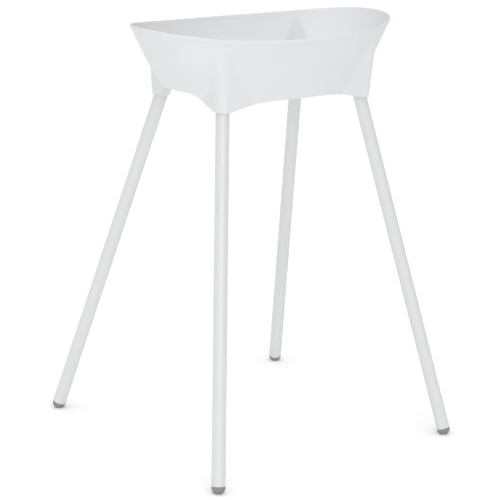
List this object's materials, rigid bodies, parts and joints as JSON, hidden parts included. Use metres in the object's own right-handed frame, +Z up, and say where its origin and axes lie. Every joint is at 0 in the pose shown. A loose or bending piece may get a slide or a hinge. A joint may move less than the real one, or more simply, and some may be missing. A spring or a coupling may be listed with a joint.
{
  "type": "baby bath stand",
  "caption": "Floor stand for a baby bath: a moulded oval ring holder, open top and bottom, on splayed tube legs that click into its corner sockets.",
  "frame": {"origin": "on the floor, under the middle of the stand", "axes": "+Z up; +X along the holder's length; +Y across it, towards the back"},
  "size_m": [0.6388, 0.614, 0.8847],
  "materials": {
    "holder_shell": "satin white moulded plastic",
    "leg_paint": "semi-gloss white powder coat on steel tube",
    "foot_rubber": "matt grey rubber",
    "plug_plastic": "matt off-white plastic",
    "button_plastic": "smooth off-white plastic",
    "spring_steel": "bare spring steel"
  },
  "bodies": {
    "holder": {"holder": "holder_shell"},
    "front_left_leg": {"front_left_leg_tube": "leg_paint", "front_left_foot_cap": "foot_rubber", "front_left_leg_plug": "plug_plastic", "front_left_button_spring": "spring_steel"},
    "front_left_button": {"front_left_snap_button": "button_plastic"},
    "front_right_leg": {"front_right_leg_tube": "leg_paint", "front_right_foot_cap": "foot_rubber", "front_right_leg_plug": "plug_plastic", "front_right_button_spring": "spring_steel"},
    "front_right_button": {"front_right_snap_button": "button_plastic"},
    "back_left_leg": {"back_left_leg_tube": "leg_paint", "back_left_foot_cap": "foot_rubber", "back_left_leg_plug": "plug_plastic", "back_left_button_spring": "spring_steel"},
    "back_left_button": {"back_left_snap_button": "button_plastic"},
    "back_right_leg": {"back_right_leg_tube": "leg_paint", "back_right_foot_cap": "foot_rubber", "back_right_leg_plug": "plug_plastic", "back_right_button_spring": "spring_steel"},
    "back_right_button": {"back_right_snap_button": "button_plastic"}
  },
  "joints": [
    {"name": "front_left_leg_pull", "type": "slide", "parent": "holder", "child": "front_left_leg", "axis": [-0.1668, -0.251, -0.9535], "range_m": [0, 0.1], "deforming": ["front_left_snap_button", "front_left_button_spring"]},
    {"name": "front_left_button_press", "type": "slide", "parent": "front_left_leg", "child": "front_left_button", "axis": [-0.5277, -0.7941, 0.3014], "range_m": [0, 0.0051], "stiffness_N_per_m": 700, "springref_m": -0.002, "deforming": ["front_left_button_spring"]},
    {"name": "front_right_leg_pull", "type": "slide", "parent": "holder", "child": "front_right_leg", "axis": [0.1668, -0.251, -0.9535], "range_m": [0, 0.1], "deforming": ["front_right_snap_button", "front_right_button_spring"]},
    {"name": "front_right_button_press", "type": "slide", "parent": "front_right_leg", "child": "front_right_button", "axis": [0.5277, -0.7941, 0.3014], "range_m": [0, 0.0051], "stiffness_N_per_m": 700, "springref_m": -0.002, "deforming": ["front_right_button_spring"]},
    {"name": "back_left_leg_pull", "type": "slide", "parent": "holder", "child": "back_left_leg", "axis": [-0.1668, 0.251, -0.9535], "range_m": [0, 0.1], "deforming": ["back_left_snap_button", "back_left_button_spring"]},
    {"name": "back_left_button_press", "type": "slide", "parent": "back_left_leg", "child": "back_left_button", "axis": [-0.5277, 0.7941, 0.3014], "range_m": [0, 0.0051], "stiffness_N_per_m": 700, "springref_m": -0.002, "deforming": ["back_left_button_spring"]},
    {"name": "back_right_leg_pull", "type": "slide", "parent": "holder", "child": "back_right_leg", "axis": [0.1668, 0.251, -0.9535], "range_m": [0, 0.1], "deforming": ["back_right_snap_button", "back_right_button_spring"]},
    {"name": "back_right_button_press", "type": "slide", "parent": "back_right_leg", "child": "back_right_button", "axis": [0.5277, 0.7941, 0.3014], "range_m": [0, 0.0051], "stiffness_N_per_m": 700, "springref_m": -0.002, "deforming": ["back_right_button_spring"]}
  ]
}
